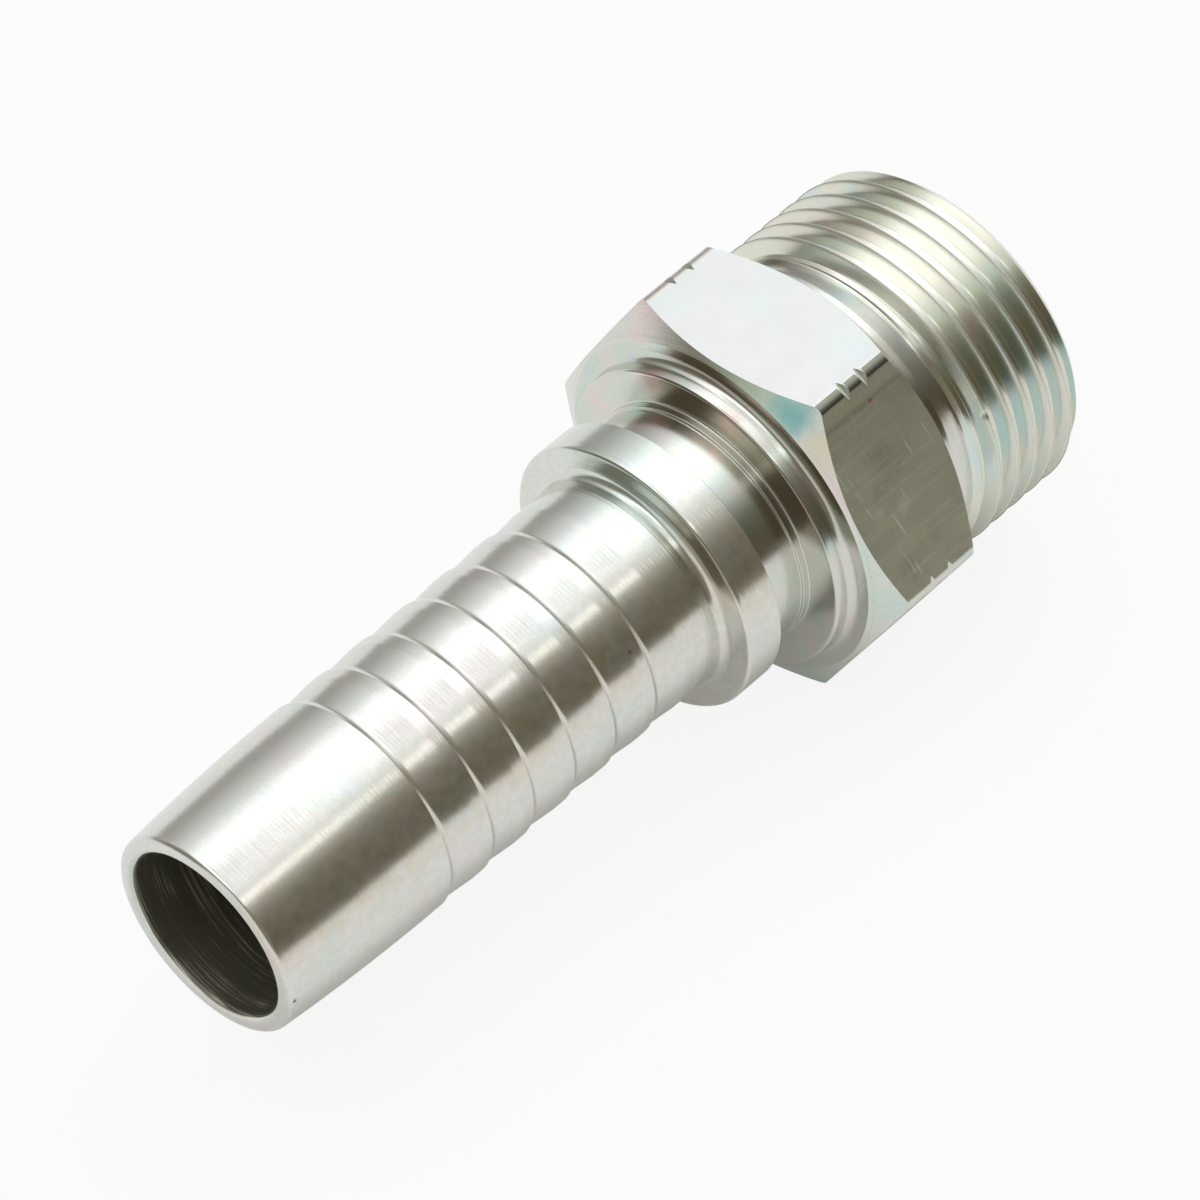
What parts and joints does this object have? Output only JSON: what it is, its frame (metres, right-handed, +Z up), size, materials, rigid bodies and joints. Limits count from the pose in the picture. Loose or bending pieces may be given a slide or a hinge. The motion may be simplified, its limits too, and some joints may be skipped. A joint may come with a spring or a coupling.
{
  "type": "hydraulic hose fitting",
  "caption": "Turned hose insert with a ribbed tail, a collar, a hexagon and a straight male thread, open from end to end.",
  "frame": {"origin": "middle of the length, on the surface that one flat of the hexagon lies on", "axes": "+X along the axis from the hose tail to the thread end, +Z up out of the flat the fitting lies on"},
  "size_m": [0.085, 0.0366, 0.032],
  "materials": {
    "plated_steel": "bright zinc plating over turned steel"
  },
  "bodies": {
    "root": {"fitting_body": "plated_steel"}
  },
  "joints": []
}
